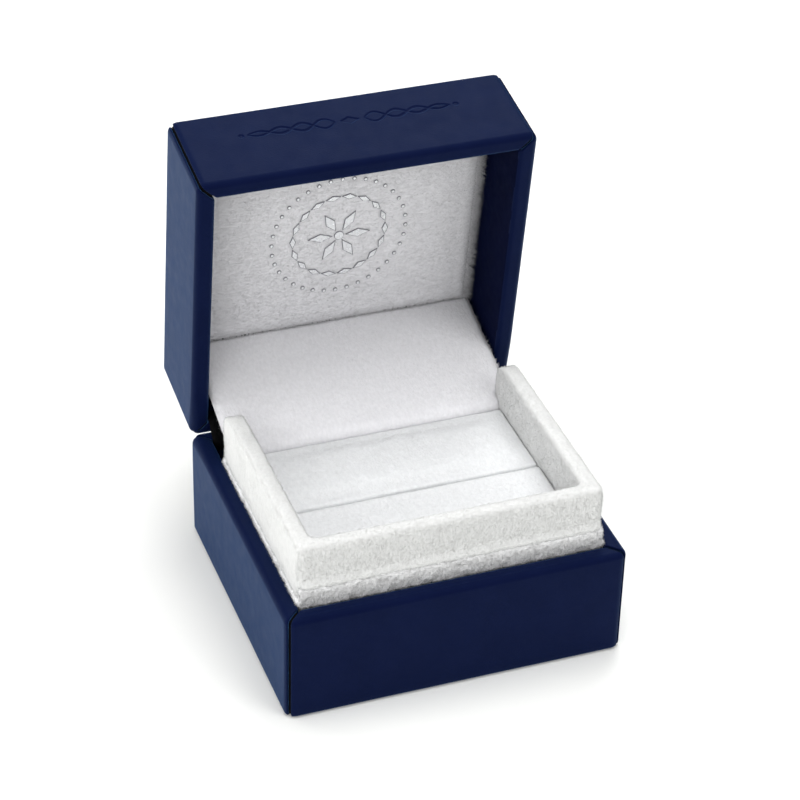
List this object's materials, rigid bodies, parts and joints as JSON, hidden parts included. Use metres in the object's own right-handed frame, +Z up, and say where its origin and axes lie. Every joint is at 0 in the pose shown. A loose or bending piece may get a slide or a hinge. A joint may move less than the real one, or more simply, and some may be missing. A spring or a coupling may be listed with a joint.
{
  "type": "jewelry gift box",
  "caption": "Hinged leatherette ring box, lid open, with a plush-lined slotted ring tray, a padded lid lining and a steel snap hinge.",
  "frame": {"origin": "middle of the underside of the base", "axes": "+X to the right, +Y from the open front towards the hinge, +Z up"},
  "size_m": [0.06, 0.0733, 0.0775],
  "materials": {
    "leatherette": "fine-grained navy leatherette, satin",
    "plush": "short-pile white plush",
    "board": "black-dyed board",
    "foam": "open-cell cushion foam",
    "steel": "bright zinc-plated sheet steel",
    "foil": "hot-stamped silver foil"
  },
  "bodies": {
    "base": {"base_shell": "board", "base_front_wrap": "leatherette", "base_back_wrap": "leatherette", "base_left_wrap": "leatherette", "base_right_wrap": "leatherette", "base_bottom_wrap": "leatherette", "collar_board": "board", "collar_plush": "plush", "rim_roll": "plush", "seat_board": "board", "seat_front_foam": "foam", "seat_front_cover": "plush", "seat_rear_foam": "foam", "seat_rear_cover": "plush", "hinge_base_leaf": "steel", "hinge_base_rivets": "steel", "hinge_pin": "steel", "hinge_spring": "steel", "hinge_flap": "plush"},
    "lid": {"hinge_lid_leaf": "steel", "hinge_lid_rivets": "steel", "lid_shell": "board", "lid_front_wrap": "leatherette", "lid_back_wrap": "leatherette", "lid_left_wrap": "leatherette", "lid_right_wrap": "leatherette", "lid_top_wrap": "leatherette", "ceiling_board": "board", "ceiling_pad": "plush", "foil_motif": "foil"}
  },
  "joints": [
    {"name": "lid_hinge", "type": "hinge", "parent": "base", "child": "lid", "pos_m": [0, 0.02685, 0.0207], "axis": [1, 0, 0], "range_deg": [0, 82], "deforming": ["hinge_flap", "hinge_spring"]}
  ]
}
